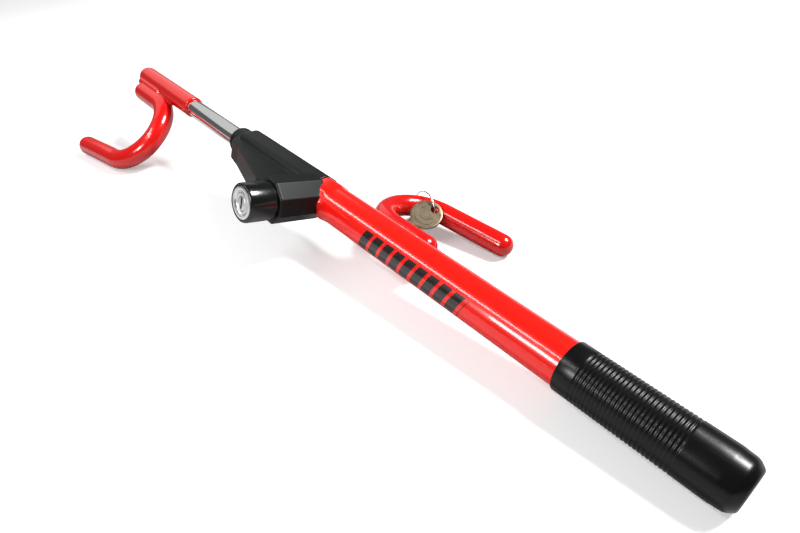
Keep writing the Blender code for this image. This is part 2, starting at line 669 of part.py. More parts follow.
# ---------------------------------------------------------------- key ring and keys
# The ring stands round the bend of the tube hook, and the keys hang on opposite sides of it.
BEFORE_LEG = math.radians(35.1)          # how far round the bend the ring is from the free leg
ring_turn = math.pi - TUBE_HOOK_FLARE - BEFORE_LEG
bar_point = (TUBE_HOOK_X - TUBE_HOOK_BEND * math.sin(ring_turn),
             TUBE_HOOK_OFFSET + TUBE_HOOK_BEND * (1 - math.cos(ring_turn)))
ring_frame = (Matrix.Rotation(TUBE_HOOK_ROLL, 4, "X") @ at(*bar_point)
              @ Matrix.Rotation(TUBE_HOOK_FLARE + BEFORE_LEG, 4, "Z"))
ring_pivot = add_empty("ring_pivot", base, ring_frame)


def torus(radius, wire, count=28, sides=6):
    """A wire ring in the XY plane."""
    bm = bmesh.new()
    rows = []
    for i in range(count):
        a = math.tau * i / count
        out = Vector((math.cos(a), math.sin(a), 0))
        rows.append([bm.verts.new(out * (radius + wire * u) + Vector((0, 0, wire * v)))
                     for u, v in circle(1.0, sides)])
    for row, after in zip(rows, rows[1:] + rows[:1]):
        for i in range(sides):
            j = (i + 1) % sides
            bm.faces.new((row[i], row[j], after[j], after[i]))
    return bm


def key_outline():
    """A flat key drawn from the centre of its hole: round bow, then a notched blade along -X."""
    bow_x = -7.6
    blade_half = 3.8
    blade_end = -46.0
    neck = math.asin(blade_half / KEY_BOW_R)
    steps = 22
    points = []
    for i in range(steps + 1):
        a = math.pi + neck + (math.tau - 2 * neck) * i / steps
        points.append((bow_x + KEY_BOW_R * math.cos(a), KEY_BOW_R * math.sin(a)))
    x = bow_x - KEY_BOW_R - 5.0
    depths = (1.4, 2.2, 1.0, 1.8)
    for depth in depths:
        points += [(x, blade_half), (x - 1.2, blade_half - depth), (x - 2.6, blade_half - depth),
                   (x - 3.8, blade_half)]
        x -= 4.4
    points += [(blade_end + 3.0, blade_half), (blade_end, 0.6), (blade_end, -0.6),
               (blade_end + 3.0, -blade_half)]
    return points


def facing(point, out, right):
    """A frame at this point with local Z along out and local X as near to right as it can be."""
    z = out.normalized()
    x = (right - z * right.dot(z)).normalized()
    return Matrix.Translation(point * MM) @ Matrix((x, z.cross(x), z)).transposed().to_4x4()


# Directions and offsets in the tube's frame
RING_FACES = Vector((-0.181, -0.972, 0.147))
RING_OFFSET = Vector((1.6, -2.0, -0.2))          # from the bar's centreline to the ring's centre
KEYS = {
    "key_a": {"hangs": Vector((0.902, -0.105, 0.420)), "faces": Vector((0.297, -0.319, 0.900)),
              "points": Vector((-0.241, -0.937, -0.253))},
    "key_b": {"hangs": Vector((-0.772, 0.048, -0.634)), "faces": Vector((0.083, 0.050, 0.995)),
              "points": Vector((0.695, 0.713, -0.093))},
}
ring_centre = ring_frame.translation / MM + RING_OFFSET
ring_place = facing(ring_centre, RING_FACES, Vector((1, 0, 0)))
key_ring = add_object("key_ring", torus(RING_R, RING_WIRE_R), STEEL, ring_pivot,
                      ring_frame.inverted() @ ring_place)


def add_key(name, hangs, faces, points):
    """A key whose hole is on the ring's wire, in this direction from the ring's centre."""
    flat = (hangs - RING_FACES * hangs.dot(RING_FACES) / RING_FACES.length_squared).normalized()
    key_place = facing(ring_centre + flat * RING_R, faces, -points)
    place = ring_place.inverted() @ key_place
    half = KEY_THICK / 2
    key = add_object(name, prism(key_outline(), -half, half), BRASS, key_ring, place)
    hole = turned([(-3, 0), (-3, 3.0), (3, 3.0), (3, 0)], 16)
    bmesh.ops.scale(hole, vec=(1.0, 1.25, 1.0), verts=hole.verts)
    combine(key, add_cutter(f"{name}_hole_cutter", hole, key_ring, place), "DIFFERENCE")


for name, placing in KEYS.items():
    add_key(name, **placing)


# ---------------------------------------------------------------- rest on the floor
def place_on_floor():
    """Move the base so that the lock's bounding box has its bottom centre at the origin."""
    bpy.context.view_layer.update()
    graph = bpy.context.evaluated_depsgraph_get()
    corners = []
    for piece in bpy.context.scene.objects:
        if piece.type != "MESH" or piece.hide_render:
            continue
        seen = piece.evaluated_get(graph)
        points = np.empty(len(seen.data.vertices) * 3)
        seen.data.vertices.foreach_get("co", points)
        matrix = np.array(seen.matrix_world)
        corners.append(points.reshape(-1, 3) @ matrix[:3, :3].T + matrix[:3, 3])
    corners = np.vstack(corners)
    low = corners.min(axis=0)
    high = corners.max(axis=0)
    middle = (low + high) / 2
    base.location = Vector((-middle[0], -middle[1], -low[2]))


place_on_floor()
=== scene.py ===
import json
import math

import bmesh
import bpy
from mathutils import Matrix, Vector


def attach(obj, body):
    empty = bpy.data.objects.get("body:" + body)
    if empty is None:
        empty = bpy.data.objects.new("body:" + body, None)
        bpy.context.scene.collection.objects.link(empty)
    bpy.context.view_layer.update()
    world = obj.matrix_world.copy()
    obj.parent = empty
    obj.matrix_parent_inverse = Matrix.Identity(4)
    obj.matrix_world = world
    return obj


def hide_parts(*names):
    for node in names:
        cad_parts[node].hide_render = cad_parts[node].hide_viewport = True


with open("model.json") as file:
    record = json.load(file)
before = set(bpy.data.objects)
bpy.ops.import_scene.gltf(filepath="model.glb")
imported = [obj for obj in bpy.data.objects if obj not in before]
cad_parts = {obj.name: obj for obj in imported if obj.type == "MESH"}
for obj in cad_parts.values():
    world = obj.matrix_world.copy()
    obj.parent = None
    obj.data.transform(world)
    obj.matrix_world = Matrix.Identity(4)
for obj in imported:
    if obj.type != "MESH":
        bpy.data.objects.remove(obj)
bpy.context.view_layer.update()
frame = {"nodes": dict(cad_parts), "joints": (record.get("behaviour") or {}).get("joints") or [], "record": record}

# ---------------------------------------------------------------- the lock's own frame
# The lock lies a little nose-up on its grip and its two hooks. Its own frame has X along the
# tube with 0 at the grip's end face, Y away from the key barrel and Z out of the body's top flat.
MM = 0.001
mounts = {mount["name"]: mount for mount in frame["record"]["mounts"]}
joints = {joint["name"]: joint for joint in frame["joints"]}
along_tube = Vector(mounts["grip_end_face"]["axis"]).normalized()
out_of_top = Vector(mounts["body_top_flat"]["axis"]).normalized()
PLUG_MARK = 5.0              # the end face's mount is this far off the tube's axis
TUBE_FRAME = Matrix((along_tube, out_of_top.cross(along_tube), out_of_top)).transposed().to_4x4()
TUBE_FRAME.translation = (Vector(mounts["grip_end_face"]["pos_m"])
                          - TUBE_FRAME.to_3x3() @ Vector((0, PLUG_MARK, 0)) * MM)
lock_out = TUBE_FRAME.to_3x3().inverted() @ Vector(joints["plug_turn"]["axis"])
LOCK_X = (TUBE_FRAME.inverted() @ Vector(joints["plug_turn"]["pos_m"])).x / MM


def in_tube(x=0.0, y=0.0, z=0.0):
    """A shift in the tube's frame, in millimetres."""
    return TUBE_FRAME @ Matrix.Translation(Vector((x, y, z)) * MM)


ALONG = Matrix.Rotation(math.radians(90.0), 4, "Y")          # local Z becomes X
TUBE_AXIS = TUBE_FRAME @ ALONG
LOCK_AXIS = in_tube(LOCK_X) @ Matrix.Rotation(math.atan2(-lock_out.y, lock_out.z), 4, "X")

# ---------------------------------------------------------------- camera
# It stands above the grip's side and looks down along the bar.
CAMERA_AT = (4.87, -209.15, 239.12)
CAMERA_AZIMUTH = math.radians(48.963)
CAMERA_RISE = math.radians(38.518)
camera_data = bpy.data.cameras.new("camera")
camera_data.sensor_width = 36.0
camera_data.lens = 36.0 * 590.0 / 800.0
camera_data.clip_start = 0.01
camera = bpy.data.objects.new("camera", camera_data)
bpy.context.scene.collection.objects.link(camera)
back = Vector((math.cos(CAMERA_RISE) * math.sin(CAMERA_AZIMUTH),
               -math.cos(CAMERA_RISE) * math.cos(CAMERA_AZIMUTH), math.sin(CAMERA_RISE)))
right = Vector((math.cos(CAMERA_AZIMUTH), math.sin(CAMERA_AZIMUTH), 0))
view_turn = Matrix((right, back.cross(right), back)).transposed().to_4x4()
camera.matrix_world = in_tube(*CAMERA_AT) @ view_turn
bpy.context.scene.camera = camera
bpy.context.scene.view_settings.view_transform = "Standard"


# ---------------------------------------------------------------- painted tube
# The outer tube is drawn steel in glossy red enamel. Its front end is swelled to eight flats where
# it enters the lock body, and a row of slanted black bars is printed on its near side.
def new_material(name):
    """A material with its Principled shader, returned with its node tree."""
    made = bpy.data.materials.new(name)
    made.use_nodes = True
    return made, made.node_tree, made.node_tree.nodes["Principled BSDF"]


def add_node(tree, kind, **values):
    """A node whose named sockets hold these values; a value may be another node's output."""
    node = tree.nodes.new(kind)
    for key, value in values.items():
        if hasattr(node, key) and not isinstance(value, bpy.types.NodeSocket):
            setattr(node, key, value)
            continue
        by_number = key[0] == "i" and key[1:].isdigit()
        socket = node.inputs[int(key[1:]) if by_number else key]
        if isinstance(value, bpy.types.NodeSocket):
            tree.links.new(value, socket)
        else:
            socket.default_value = value
    return node


def make_group(name, inputs, outputs):
    """An empty node group with float inputs and outputs of the given kinds."""
    group = bpy.data.node_groups.new(name, "ShaderNodeTree")
    for label, kind, value in inputs:
        socket = group.interface.new_socket(label, in_out="INPUT", socket_type=kind)
        if value is not None:
            socket.default_value = value
    for label, kind in outputs:
        group.interface.new_socket(label, in_out="OUTPUT", socket_type=kind)
    return group, group.nodes.new("NodeGroupInput"), group.nodes.new("NodeGroupOutput")


def build_surface_wear():
    """Soft uneven gloss, fine scratches and a little relief for any handled finish."""
    group, ins, outs = make_group(
        "surface_wear",
        [("Colour", "NodeSocketColor", (0.5, 0.5, 0.5, 1)), ("Roughness", "NodeSocketFloat", 0.3),
         ("Patch Scale", "NodeSocketFloat", 60.0), ("Tone Spread", "NodeSocketFloat", 0.1),
         ("Gloss Spread", "NodeSocketFloat", 0.08), ("Scratches", "NodeSocketFloat", 0.1),
         ("Grain Scale", "NodeSocketFloat", 900.0), ("Relief", "NodeSocketFloat", 0.05)],
        [("Colour", "NodeSocketColor"), ("Roughness", "NodeSocketFloat"),
         ("Normal", "NodeSocketVector")])
    place = add_node(group, "ShaderNodeTexCoord").outputs["Object"]
    patches = add_node(group, "ShaderNodeTexNoise", Vector=place, Scale=ins.outputs["Patch Scale"],
                       Detail=4.0, Roughness=0.6).outputs["Fac"]
    centred = add_node(group, "ShaderNodeMath", operation="SUBTRACT", i0=patches, i1=0.5).outputs[0]
    tone = add_node(group, "ShaderNodeMath", operation="MULTIPLY_ADD", i0=centred,
                    i1=ins.outputs["Tone Spread"], i2=1.0).outputs[0]
    toned = add_node(group, "ShaderNodeVectorMath", operation="SCALE", i0=ins.outputs["Colour"],
                     Scale=tone).outputs[0]
    stretched = add_node(group, "ShaderNodeMapping", Vector=place, Rotation=(0.3, 0.2, 0.9),
                         Scale=(40.0, 900.0, 900.0)).outputs[0]
    streaks = add_node(group, "ShaderNodeTexNoise", Vector=stretched, Scale=1.0,
                       Detail=2.0).outputs["Fac"]
    thin = add_node(group, "ShaderNodeMapRange", Value=streaks, i1=0.62, i2=0.72).outputs[0]
    scratched = add_node(group, "ShaderNodeMath", operation="MULTIPLY", i0=thin,
                         i1=ins.outputs["Scratches"]).outputs[0]
    spread = add_node(group, "ShaderNodeMath", operation="MULTIPLY_ADD", i0=centred,
                      i1=ins.outputs["Gloss Spread"], i2=ins.outputs["Roughness"]).outputs[0]
    rough = add_node(group, "ShaderNodeMath", operation="ADD", i0=spread, i1=scratched,
                     use_clamp=True)
    grain = add_node(group, "ShaderNodeTexNoise", Vector=place, Scale=ins.outputs["Grain Scale"],
                     Detail=3.0).outputs["Fac"]
    height = add_node(group, "ShaderNodeMath", operation="SUBTRACT", i0=grain,
                      i1=scratched).outputs[0]
    bump = add_node(group, "ShaderNodeBump", Strength=ins.outputs["Relief"], Distance=0.0003,
                    Height=height)
    group.links.new(toned, outs.inputs["Colour"])
    group.links.new(rough.outputs[0], outs.inputs["Roughness"])
    group.links.new(bump.outputs[0], outs.inputs["Normal"])
    return group


surface_wear = build_surface_wear()


def finish_with_wear(tree, shader, colour, roughness, patch=60.0, tone=0.1, gloss=0.08,
                     scratches=0.1, grain=900.0, relief=0.05):
    """Put the wear group between this colour and roughness and the shader."""
    node = tree.nodes.new("ShaderNodeGroup")
    node.node_tree = surface_wear
    values = {"Roughness": roughness, "Patch Scale": patch, "Tone Spread": tone,
              "Gloss Spread": gloss, "Scratches": scratches, "Grain Scale": grain, "Relief": relief}
    for label, value in values.items():
        node.inputs[label].default_value = value
    if isinstance(colour, bpy.types.NodeSocket):
        tree.links.new(colour, node.inputs["Colour"])
    else:
        node.inputs["Colour"].default_value = (*colour, 1)
    tree.links.new(node.outputs["Colour"], shader.inputs["Base Color"])
    tree.links.new(node.outputs["Roughness"], shader.inputs["Roughness"])
    tree.links.new(node.outputs["Normal"], shader.inputs["Normal"])
    return node


def worn_material(name, colour, roughness, metallic=0.0, coat=0.0, specular=0.5, **wear):
    made, tree, shader = new_material(name)
    shader.inputs["Metallic"].default_value = metallic
    shader.inputs["Specular IOR Level"].default_value = specular
    shader.inputs["Coat Weight"].default_value = coat
    shader.inputs["Coat Roughness"].default_value = 0.06
    finish_with_wear(tree, shader, colour, roughness, **wear)
    return made


def place_piece(piece, place, material, body, *stands_for, smooth=35.0):
    """Apply the stack, move the shape to its place and hand the piece to its body."""
    bpy.context.view_layer.update()
    graph = bpy.context.evaluated_depsgraph_get()
    mesh = bpy.data.meshes.new_from_object(piece.evaluated_get(graph))
    name = piece.name
    bpy.data.objects.remove(piece)
    mesh.transform(place @ Matrix.Scale(MM, 4))
    mesh.materials.clear()
    mesh.materials.append(material)
    mesh.shade_smooth()
    if smooth < 180.0:
        mesh.set_sharp_from_angle(angle=math.radians(smooth))
    done = bpy.data.objects.new(name, mesh)
    bpy.context.scene.collection.objects.link(done)
    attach(done, body)
    if stands_for:
        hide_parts(*stands_for)
    return done


def new_object(name, bm):
    mesh = bpy.data.meshes.new(name)
    bm.to_mesh(mesh)
    bm.free()
    made = bpy.data.objects.new(name, mesh)
    bpy.context.scene.collection.objects.link(made)
    return made


def add_modifier(piece, kind, **values):
    modifier = piece.modifiers.new(kind.lower(), kind)
    for key, value in values.items():
        setattr(modifier, key, value)
    return modifier


def turned(name, outline, steps=96):
    """A profile of (distance along the axis, radius) turned about its own Z by a Screw."""
    bm = bmesh.new()
    points = [bm.verts.new((radius, 0, z)) for z, radius in outline]
    pairs = list(zip(points, points[1:]))
    if outline[0][1] > 0 and outline[-1][1] > 0:
        pairs.append((points[-1], points[0]))
    for first, second in pairs:
        bm.edges.new((first, second))
    piece = new_object(name, bm)
    add_modifier(piece, "SCREW", axis="Z", angle=math.tau, screw_offset=0.0, steps=steps,
                 render_steps=steps, use_merge_vertices=True, merge_threshold=0.0001,
                 use_normal_calculate=True)
    return piece


def fix_normals(piece):
    """Apply the stack of an unplaced piece and turn its faces outwards."""
    bpy.context.view_layer.update()
    graph = bpy.context.evaluated_depsgraph_get()
    mesh = bpy.data.meshes.new_from_object(piece.evaluated_get(graph))
    bm = bmesh.new()
    bm.from_mesh(mesh)
    bmesh.ops.remove_doubles(bm, verts=bm.verts, dist=0.0005)
    bmesh.ops.recalc_face_normals(bm, faces=bm.faces)
    if bm.calc_volume(signed=True) < 0:
        bmesh.ops.reverse_faces(bm, faces=bm.faces)
    bm.to_mesh(mesh)
    bm.free()
    piece.modifiers.clear()
    piece.data = mesh
    return piece


TUBE_R = 14.3
TUBE_BORE = 11.7
TUBE_FRONT = -432.0
TUBE_REAR = -6.0
SWELL_FLAT = 15.05           # half width across the flats of the swelled end
SWELL = (-325.4, -311.0)
SWELL_FADE = -305.5


def tube_ring(x, flat, roundness, count=96):
    """A ring round the tube: roundness 0 has eight flats with eased corners, 1 is a circle."""
    ring = []
    for i in range(count):
        angle = math.tau * i / count
        off_flat = (angle + math.pi / 8) % (math.pi / 4) - math.pi / 8
        flats = min(flat / math.cos(off_flat), flat * 1.045)
        radius = flats * (1 - roundness) + flat * roundness
        ring.append((x, radius * math.sin(angle), radius * math.cos(angle)))
    return ring


def loft(rings, closed_ring=False):
    """Bridge rings with equal counts into one closed shell."""
    bm = bmesh.new()
    rows = [[bm.verts.new(point) for point in ring] for ring in rings]
    stretches = list(zip(rows, rows[1:]))
    if closed_ring:
        stretches.append((rows[-1], rows[0]))
    for row, after in stretches:
        for i in range(len(row)):
            j = (i + 1) % len(row)
            bm.faces.new((row[i], row[j], after[j], after[i]))
    if not closed_ring:
        bm.faces.new(rows[0])
        bm.faces.new(rows[-1])
    bmesh.ops.recalc_face_normals(bm, faces=bm.faces)
    if bm.calc_volume(signed=True) < 0:
        bmesh.ops.reverse_faces(bm, faces=bm.faces)
    return bm


def painted_tube():
    rings = [tube_ring(TUBE_FRONT, TUBE_BORE, 1), tube_ring(TUBE_FRONT, TUBE_R - 0.4, 1),
             tube_ring(TUBE_FRONT + 0.4, TUBE_R, 1), tube_ring(SWELL[0] - 0.3, TUBE_R, 1),
             tube_ring(SWELL[0], SWELL_FLAT - 0.5, 0), tube_ring(SWELL[0] + 0.5, SWELL_FLAT, 0),
             tube_ring(SWELL[1] - 0.6, SWELL_FLAT, 0.05),
             tube_ring(SWELL[1], SWELL_FLAT - 0.15, 0.15),
             tube_ring(SWELL[1] + 1.2, SWELL_FLAT - 0.55, 0.55), tube_ring(SWELL_FADE, TUBE_R, 1),
             tube_ring(-200.0, TUBE_R, 1), tube_ring(TUBE_REAR, TUBE_R, 1),
             tube_ring(TUBE_REAR, TUBE_BORE, 1)]
    return new_object("painted_tube", loft(rings, closed_ring=True))


BARS_FROM, BARS_TO = -262.0, -166.0      # printed bars, along the tube
BAR_PITCH, BAR_WIDTH = 10.6, 7.8
BAR_BOTTOM, BAR_TOP = -5.5, 10.5         # round the tube, from the side that faces the barrel
BAR_LEAN = 0.45


def red_enamel():
    """Gloss enamel, with slanted black bars printed over its near side."""
    made, tree, shader = new_material("red_enamel")
    place = add_node(tree, "ShaderNodeTexCoord").outputs["Object"]
    turn = TUBE_FRAME.to_3x3().inverted().to_euler()
    shift = TUBE_FRAME.inverted().translation
    local = add_node(tree, "ShaderNodeMapping", Vector=place, Location=shift,
                     Rotation=turn).outputs[0]
    parts = add_node(tree, "ShaderNodeSeparateXYZ", Vector=local)
    x, y, z = parts.outputs

    def math_node(kind, a, b):
        return add_node(tree, "ShaderNodeMath", operation=kind, i0=a, i1=b).outputs[0]

    down = math_node("MULTIPLY", y, -1.0)
    round_tube = math_node("ARCTAN2", z, down)                  # 0 on the side that faces -Y
    height = math_node("MULTIPLY", round_tube, TUBE_R * MM)
    lean = math_node("MULTIPLY", height, BAR_LEAN)
    slid = math_node("SUBTRACT", x, lean)
    into = math_node("SUBTRACT", slid, BARS_FROM * MM)
    cell = math_node("MODULO", into, BAR_PITCH * MM)
    mask = math_node("LESS_THAN", cell, BAR_WIDTH * MM)
    for kind, value, edge in (("GREATER_THAN", slid, BARS_FROM), ("LESS_THAN", slid, BARS_TO),
                              ("GREATER_THAN", height, BAR_BOTTOM), ("LESS_THAN", height, BAR_TOP)):
        mask = math_node("MULTIPLY", mask, math_node(kind, value, edge * MM))
    speckle = add_node(tree, "ShaderNodeTexNoise", Vector=place, Scale=1500.0,
                       Detail=2.0).outputs["Fac"]
    worn = add_node(tree, "ShaderNodeMapRange", Value=speckle, i1=0.27, i2=0.31).outputs[0]
    printed = math_node("MULTIPLY", mask, worn)
    colour = add_node(tree, "ShaderNodeMix", data_type="RGBA")
    tree.links.new(printed, colour.inputs["Factor"])
    colour.inputs[6].default_value = (0.86, 0.006, 0.0015, 1)
    colour.inputs[7].default_value = (0.012, 0.011, 0.010, 1)
    shader.inputs["Coat Weight"].default_value = 0.6
    shader.inputs["Coat Roughness"].default_value = 0.05
    shader.inputs["Specular IOR Level"].default_value = 0.45
    finish_with_wear(tree, shader, colour.outputs[2], 0.22, patch=45.0, tone=0.08, gloss=0.06,
                     scratches=0.06, grain=420.0, relief=0.035)
    return made


place_piece(painted_tube(), TUBE_FRAME, red_enamel(), "housing", "outer_tube", smooth=30.0)

# ---------------------------------------------------------------- rubber grip
# A black rubber sleeve pushed over the tube. It is moulded with fine rings round its middle, left
# smooth at both ends, and tapers to a rolled lip that folds in over the tube's end.
GRIP_R = 15.5
GRIP_FRONT = -98.0
RIB_START, RIB_STOP, RIB_PITCH, RIB_DEPTH = -87.0, -29.5, 2.3, 0.34
RIB_SHAPE = ((0.0, 0.0), (0.25, 0.75), (0.55, 1.0), (0.95, 1.0), (1.25, 0.75), (1.5, 0.0),
             (1.9, -0.08))


def grip_outline():
    outline = [(GRIP_FRONT, TUBE_R + 0.1), (GRIP_FRONT, GRIP_R - 0.55),
               (GRIP_FRONT + 0.2, GRIP_R - 0.2), (GRIP_FRONT + 0.6, GRIP_R),
               (RIB_START - 0.6, GRIP_R)]
    ribs = int((RIB_STOP - RIB_START) / RIB_PITCH)
    for i in range(ribs):
        start = RIB_START + i * RIB_PITCH
        for step, rise in RIB_SHAPE:
            outline.append((start + step, GRIP_R - RIB_DEPTH * rise))
    outline += [(RIB_STOP + 0.6, GRIP_R), (-20.0, GRIP_R), (-12.5, GRIP_R), (-11.4, 15.42),
                (-10.4, 15.28), (-5.6, 14.85), (-4.6, 14.65), (-3.4, 14.1), (-1.9, 12.95),
                (-1.0, 12.3), (-0.35, 11.6), (-0.05, 10.9), (0.0, 10.3), (-0.1, 9.5), (-0.5, 9.05),
                (-2.0, 9.0), (TUBE_REAR + 0.2, 9.0), (TUBE_REAR + 0.2, TUBE_R + 0.1)]
    return outline


grip_rubber = worn_material("grip_rubber", (0.0022, 0.0024, 0.0026), 0.27, specular=0.3,
                            patch=120.0, tone=0.5, gloss=0.1, scratches=0.1, grain=1600.0,
                            relief=0.07)
place_piece(fix_normals(turned("ribbed_grip", grip_outline(), steps=128)), TUBE_AXIS, grip_rubber,
            "housing", "grip_sleeve", smooth=60.0)

# ---------------------------------------------------------------- end plug
# A moulded black plug that closes the tube inside the grip's lip. Its face is flat with an eased
# edge and a shallow dished ring.
plug_rubber = worn_material("plug_rubber", (0.004, 0.004, 0.0045), 0.3, specular=0.35,
                            patch=150.0, tone=0.3, gloss=0.1, scratches=0.1, grain=1400.0, relief=0.1)
plug_outline = [(-14.0, 0), (-14.0, 10.6), (-12.9, 11.4), (-6.5, 11.4), (-6.5, 8.7), (-0.7, 8.7),
                (-0.25, 8.5), (0.0, 8.0), (0.0, 7.0), (-0.35, 6.7), (-0.45, 6.2), (-0.35, 5.7),
                (0.0, 5.4), (0.0, 0)]
place_piece(fix_normals(turned("tube_end_plug", plug_outline)), TUBE_AXIS, plug_rubber, "housing",
            "end_plug")

# ---------------------------------------------------------------- sliding rod
# Hard-chromed steel bar. The stretch inside the tube is cut with ring grooves, each with one steep
# side that the pawl catches on; the outer stretch is plain and polished.
ROD_R = 8.6
ROD_FRONT, ROD_REAR = -655.0, -107.3
GROOVE_PITCH, GROOVE_COUNT, GROOVE_DEPTH = 12.5, 24, 2.0


def rod_outline():
    lowest = LOCK_X - 2.3 - 7 * GROOVE_PITCH
    outline = [(ROD_FRONT, 0), (ROD_FRONT, 5.4), (ROD_FRONT + 0.9, 7.4), (ROD_FRONT + 3.2, ROD_R)]
    for i in range(GROOVE_COUNT):
        start = lowest + i * GROOVE_PITCH
        outline += [(start - 0.15, ROD_R), (start, ROD_R - 0.12),
                    (start + 0.2, ROD_R - GROOVE_DEPTH + 0.15), (start + 0.4, ROD_R - GROOVE_DEPTH),
                    (start + 4.3, ROD_R - GROOVE_DEPTH), (start + 6.85, ROD_R - 0.12),
                    (start + 7.1, ROD_R)]
    stub = ROD_REAR - 9.6
    outline += [(stub - 0.3, ROD_R), (stub, ROD_R - 0.3), (stub, 6.0), (ROD_REAR, 6.0),
                (ROD_REAR, 2.4), (ROD_REAR - 13.0, 2.4), (ROD_REAR - 13.0, 0)]
    return outline


polished_chrome = worn_material("polished_chrome", (0.80, 0.81, 0.81), 0.085, metallic=1.0,
                                patch=30.0, tone=0.06, gloss=0.07, scratches=0.12, grain=700.0,
                                relief=0.02)
place_piece(fix_normals(turned("chromed_rod", rod_outline())), TUBE_AXIS, polished_chrome,
            "rod_assembly", "rod")


# ---------------------------------------------------------------- coated hooks
# Each hook is a round steel bar bent to a U, welded along one leg and dipped in thick glossy red
# vinyl, so the coat runs smoothly over bar, weld and dipped end and has a soft rolled edge.
def hook_path(opening, offset, bend, start_x, leg, flare, welded):
    """Centreline of a hook in its own plane. opening is +1 where it opens towards the grip."""
    points = [Vector((start_x + opening * welded, offset, 0))]
    steps = 28
    for i in range(steps + 1):
        turn = (math.pi - flare) * i / steps
        points.append(Vector((start_x - opening * bend * math.sin(turn),
                              offset + bend * (1 - math.cos(turn)), 0)))
    points.append(points[-1] + Vector((opening * math.cos(flare), math.sin(flare), 0)) * leg)
    return points


def domed_bar(name, path, radius, dome=0.92):
    """A curve of this radius with domed ends, in millimetres."""
    curve = bpy.data.curves.new(name, "CURVE")
    curve.dimensions = "3D"
    curve.bevel_depth = radius
    curve.bevel_resolution = 12
    curve.use_fill_caps = True
    starts = [math.radians(angle) for angle in (4, 18, 34, 52, 72)]
    first = (path[0] - path[1]).normalized()
    last = (path[-1] - path[-2]).normalized()
    stations = [(path[0] + first * radius * dome * math.cos(a), math.sin(a)) for a in starts]
    stations += [(point, 1.0) for point in path]
    stations += [(path[-1] + last * radius * dome * math.cos(a), math.sin(a))
                 for a in reversed(starts)]
    spline = curve.splines.new("POLY")
    spline.points.add(len(stations) - 1)
    for point, (place, share) in zip(spline.points, stations):
        point.co = (*place, 1)
        point.radius = share
    made = bpy.data.objects.new(name, curve)
    bpy.context.scene.collection.objects.link(made)
    return made


def meshes_of(*made):
    """Join several unplaced pieces into one bmesh; each brings its own place."""
    bpy.context.view_layer.update()
    graph = bpy.context.evaluated_depsgraph_get()
    bm = bmesh.new()
    for piece in made:
        mesh = bpy.data.meshes.new_from_object(piece.evaluated_get(graph))
        mesh.transform(piece.matrix_world)
        bm.from_mesh(mesh)
        bpy.data.objects.remove(piece)
    return bm


def dipped(name, parts, grain, smoothing):
    """Melt overlapping solids into one skin, as a dip coat does."""
    piece = new_object(name, meshes_of(*parts))
    add_modifier(piece, "REMESH", mode="VOXEL", voxel_size=grain, use_smooth_shade=True)
    add_modifier(piece, "SMOOTH", factor=0.5, iterations=smoothing)
    return piece


def weld_run(name, length, radius, place):
    run = fix_normals(turned(name, [(-length / 2, 0), (-length / 2 + 1.2, radius * 0.7),
                                    (-length / 2 + 4, radius), (length / 2 - 4, radius),
                                    (length / 2 - 1.2, radius * 0.7), (length / 2, 0)], steps=24))
    run.matrix_world = place @ ALONG
    return run


def hook_plane(roll):
    return Matrix.Rotation(roll, 4, "X")


vinyl_red = worn_material("dipped_vinyl", (0.60, 0.0035, 0.002), 0.2, coat=0.5, patch=35.0,
                          tone=0.12, gloss=0.07, scratches=0.05, grain=260.0, relief=0.05)
TUBE_HOOK = hook_path(1, 21.2, 28.0, -265.0, 57.0, math.radians(5.4), 33.5)
TUBE_HOOK_ROLL = math.radians(-15.0)
tube_bar = domed_bar("tube_hook_bar", TUBE_HOOK, 8.6)
tube_bar.matrix_world = hook_plane(TUBE_HOOK_ROLL)
tube_parts = [tube_bar]
for side in (1, -1):
    tube_parts.append(weld_run(f"tube_weld_{side}", 34.0, 3.4, hook_plane(TUBE_HOOK_ROLL)
                               @ Matrix.Translation((-251.0, 14.6, 4.9 * side))))
place_piece(dipped("tube_hook", tube_parts, 0.7, 5), TUBE_FRAME, vinyl_red, "housing",
            "tube_hook_coating", smooth=180.0)

ROD_HOOK = hook_path(-1, 16.5, 36.4, -600.0, 60.0, math.radians(9.4), 38.5)
ROD_HOOK_ROLL = math.radians(180.0 + 34.2)
rod_bar = domed_bar("rod_hook_bar", ROD_HOOK, 9.7)
rod_bar.matrix_world = hook_plane(ROD_HOOK_ROLL)
sock = [(-656.5, 0), (-656.5, 6.6), (-655.6, 8.6), (-653.3, 10.0), (-651.0, 10.1), (-544.2, 10.1),
        (-542.6, 9.8), (-542.0, 9.2), (-542.0, 0)]
rod_sock = fix_normals(turned("rod_sock", sock, steps=64))
rod_sock.matrix_world = ALONG
rod_parts = [rod_bar, rod_sock]
for side in (1, -1):
    rod_parts.append(weld_run(f"rod_weld_{side}", 52.0, 4.8, hook_plane(ROD_HOOK_ROLL)
                              @ Matrix.Translation((-626.0, 8.3, 3.9 * side))))
place_piece(dipped("rod_hook", rod_parts, 0.8, 4), TUBE_FRAME, vinyl_red, "rod_assembly",
            "rod_hook_coating", smooth=180.0)


# ---------------------------------------------------------------- lock body
# Cast body in satin black enamel: an eight-sided sleeve over the tube's end with a round collar, a
# flat web and an eight-sided boss that holds the key barrel. Its edges are eased by the casting.
LOCK_IN_TUBE = TUBE_FRAME.inverted() @ LOCK_AXIS
LOCK_IN_TUBE.translation = LOCK_IN_TUBE.translation / MM
BODY_FLAT = 15.7
BOSS_FLAT = 16.0
WEB_HALF = 8.0


def body_sleeve():
    sections = ((-326.0, BODY_FLAT - 0.4, 0), (-326.5, BODY_FLAT, 0), (-430.0, BODY_FLAT, 0),
                (-438.5, 12.0, 1), (-449.4, 12.0, 1), (-450.5, 11.0, 1))
    return new_object("body_sleeve", loft([tube_ring(*section) for section in sections]))


